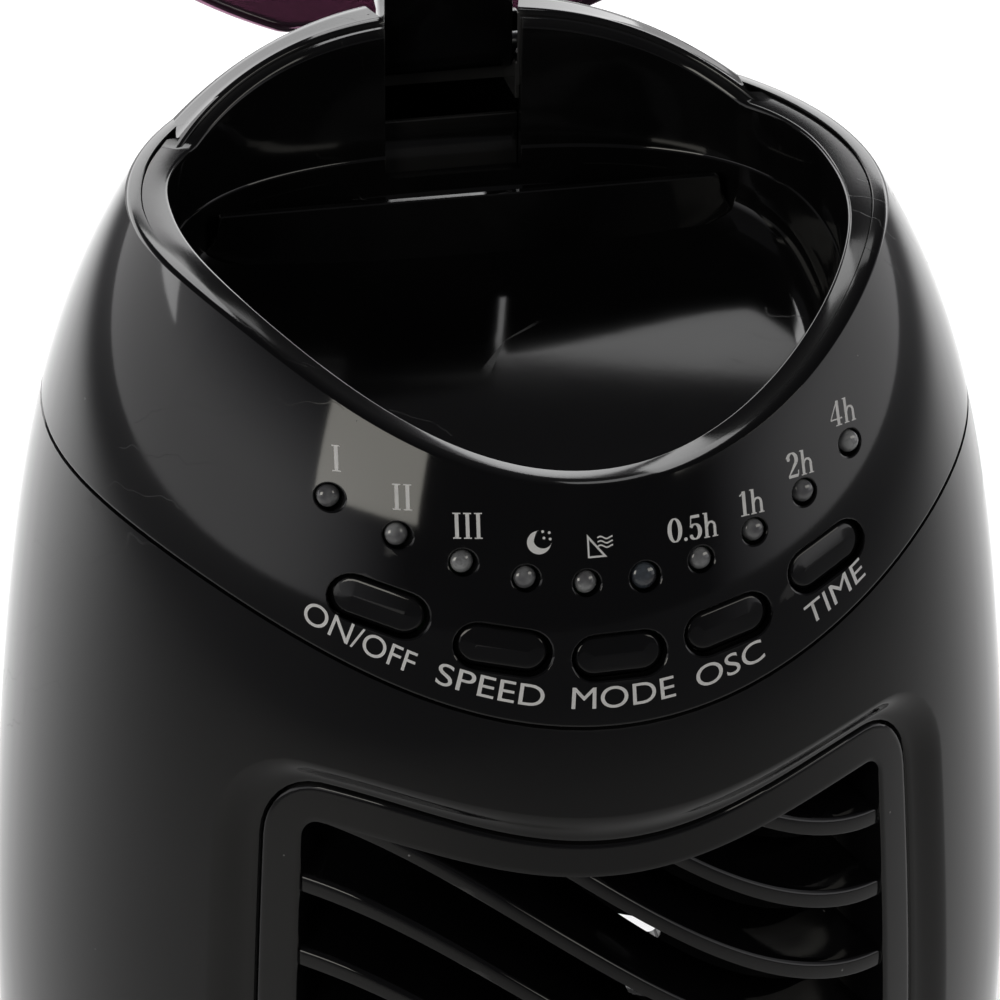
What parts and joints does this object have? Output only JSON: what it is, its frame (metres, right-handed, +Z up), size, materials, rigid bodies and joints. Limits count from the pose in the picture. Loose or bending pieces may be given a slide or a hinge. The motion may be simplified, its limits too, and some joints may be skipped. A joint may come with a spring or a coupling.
{
  "type": "oscillating tower fan",
  "caption": "Oscillating tower fan with a curved slatted outlet, a button and indicator panel, and a remote-control tray under a hinged translucent dome lid",
  "frame": {"origin": "middle of the footprint, on the floor the feet rest on", "axes": "+Z up, the air outlet faces -Y, and +X is to the right of someone who faces the outlet"},
  "size_m": [0.25, 0.25, 0.86],
  "materials": {
    "satin_black": "satin moulded plastic",
    "screw_steel": "zinc-plated steel",
    "rubber_black": "soft moulded rubber",
    "gloss_black": "polished injection-moulded plastic",
    "smoked_plum": "polished translucent smoked plum plastic",
    "ballast_iron": "as-cast iron",
    "motor_tin": "pressed tin-plated steel",
    "board_green": "circuit board",
    "frosted_lens": "water-clear indicator lens, unlit",
    "sensor_lens": "smoked infrared window",
    "drum_grey": "moulded drum plastic",
    "bronze": "sintered bronze"
  },
  "bodies": {
    "base": {"base_plate": "satin_black", "base_screw_1": "screw_steel", "base_screw_2": "screw_steel", "base_screw_3": "screw_steel", "base_screw_4": "screw_steel", "rubber_foot_1": "rubber_black", "rubber_foot_2": "rubber_black", "rubber_foot_3": "rubber_black", "rubber_foot_4": "rubber_black", "base_cover": "gloss_black", "cord_grommet": "rubber_black", "base_ballast": "ballast_iron", "pivot_post": "satin_black", "turntable_ring": "satin_black", "swing_motor": "motor_tin"},
    "crank": {"swing_crank": "satin_black"},
    "tower": {"turntable": "satin_black", "body_floor": "satin_black", "front_shell": "gloss_black", "rear_shell": "gloss_black", "outlet_grille": "gloss_black", "head_shell": "gloss_black", "rear_crescent": "gloss_black", "storage_tray": "gloss_black", "hinge_pin": "screw_steel", "control_board": "board_green", "led_speed_1": "frosted_lens", "led_speed_2": "frosted_lens", "led_speed_3": "frosted_lens", "led_sleep": "frosted_lens", "led_breeze": "frosted_lens", "led_half_hour": "frosted_lens", "led_one_hour": "frosted_lens", "led_two_hours": "frosted_lens", "led_four_hours": "frosted_lens", "remote_receiver": "sensor_lens", "switch_power": "satin_black", "switch_speed": "satin_black", "switch_mode": "satin_black", "switch_swing": "satin_black", "switch_timer": "satin_black", "fan_motor": "motor_tin", "motor_bracket": "satin_black", "bearing_bush": "bronze", "bearing_bracket": "satin_black", "scroll_wall": "satin_black", "cutoff_wall": "satin_black"},
    "drum": {"impeller": "drum_grey", "motor_shaft": "screw_steel"},
    "lid": {"lid_dome": "smoked_plum", "lid_arm": "gloss_black"},
    "button_power_body": {"button_power": "gloss_black"},
    "button_speed_body": {"button_speed": "gloss_black"},
    "button_mode_body": {"button_mode": "gloss_black"},
    "button_swing_body": {"button_swing": "gloss_black"},
    "button_timer_body": {"button_timer": "gloss_black"}
  },
  "joints": [
    {"name": "oscillation", "type": "hinge", "parent": "base", "child": "tower", "pos_m": [0, 0, 0.046], "axis": [0, 0, 1], "range_deg": [-35, 35]},
    {"name": "crank_turn", "type": "hinge", "parent": "base", "child": "crank", "pos_m": [0, 0.026, 0.02], "axis": [0, 0, 1], "range_deg": [-90, 90]},
    {"name": "drum_spin", "type": "hinge", "parent": "tower", "child": "drum", "pos_m": [0, 0.006, 0.15], "axis": [0, 0, 1], "continuous": true},
    {"name": "lid_hinge", "type": "hinge", "parent": "tower", "child": "lid", "pos_m": [0, 0.048, 0.746], "axis": [1, 0, 0], "range_deg": [0, 115]},
    {"name": "power_press", "type": "slide", "parent": "tower", "child": "button_power_body", "axis": [0, 0.9703, -0.2419], "range_m": [0, 0.001], "stiffness_N_per_m": 800, "springref_m": -0.0005},
    {"name": "speed_press", "type": "slide", "parent": "tower", "child": "button_speed_body", "axis": [0, 0.9703, -0.2419], "range_m": [0, 0.001], "stiffness_N_per_m": 800, "springref_m": -0.0005},
    {"name": "mode_press", "type": "slide", "parent": "tower", "child": "button_mode_body", "axis": [0, 0.9703, -0.2419], "range_m": [0, 0.001], "stiffness_N_per_m": 800, "springref_m": -0.0005},
    {"name": "swing_press", "type": "slide", "parent": "tower", "child": "button_swing_body", "axis": [0, 0.9703, -0.2419], "range_m": [0, 0.001], "stiffness_N_per_m": 800, "springref_m": -0.0005},
    {"name": "timer_press", "type": "slide", "parent": "tower", "child": "button_timer_body", "axis": [0, 0.9703, -0.2419], "range_m": [0, 0.001], "stiffness_N_per_m": 800, "springref_m": -0.0005}
  ],
  "couplings": [
    {"joint": "crank_turn", "follows": "oscillation", "ratio": 2.5714}
  ]
}
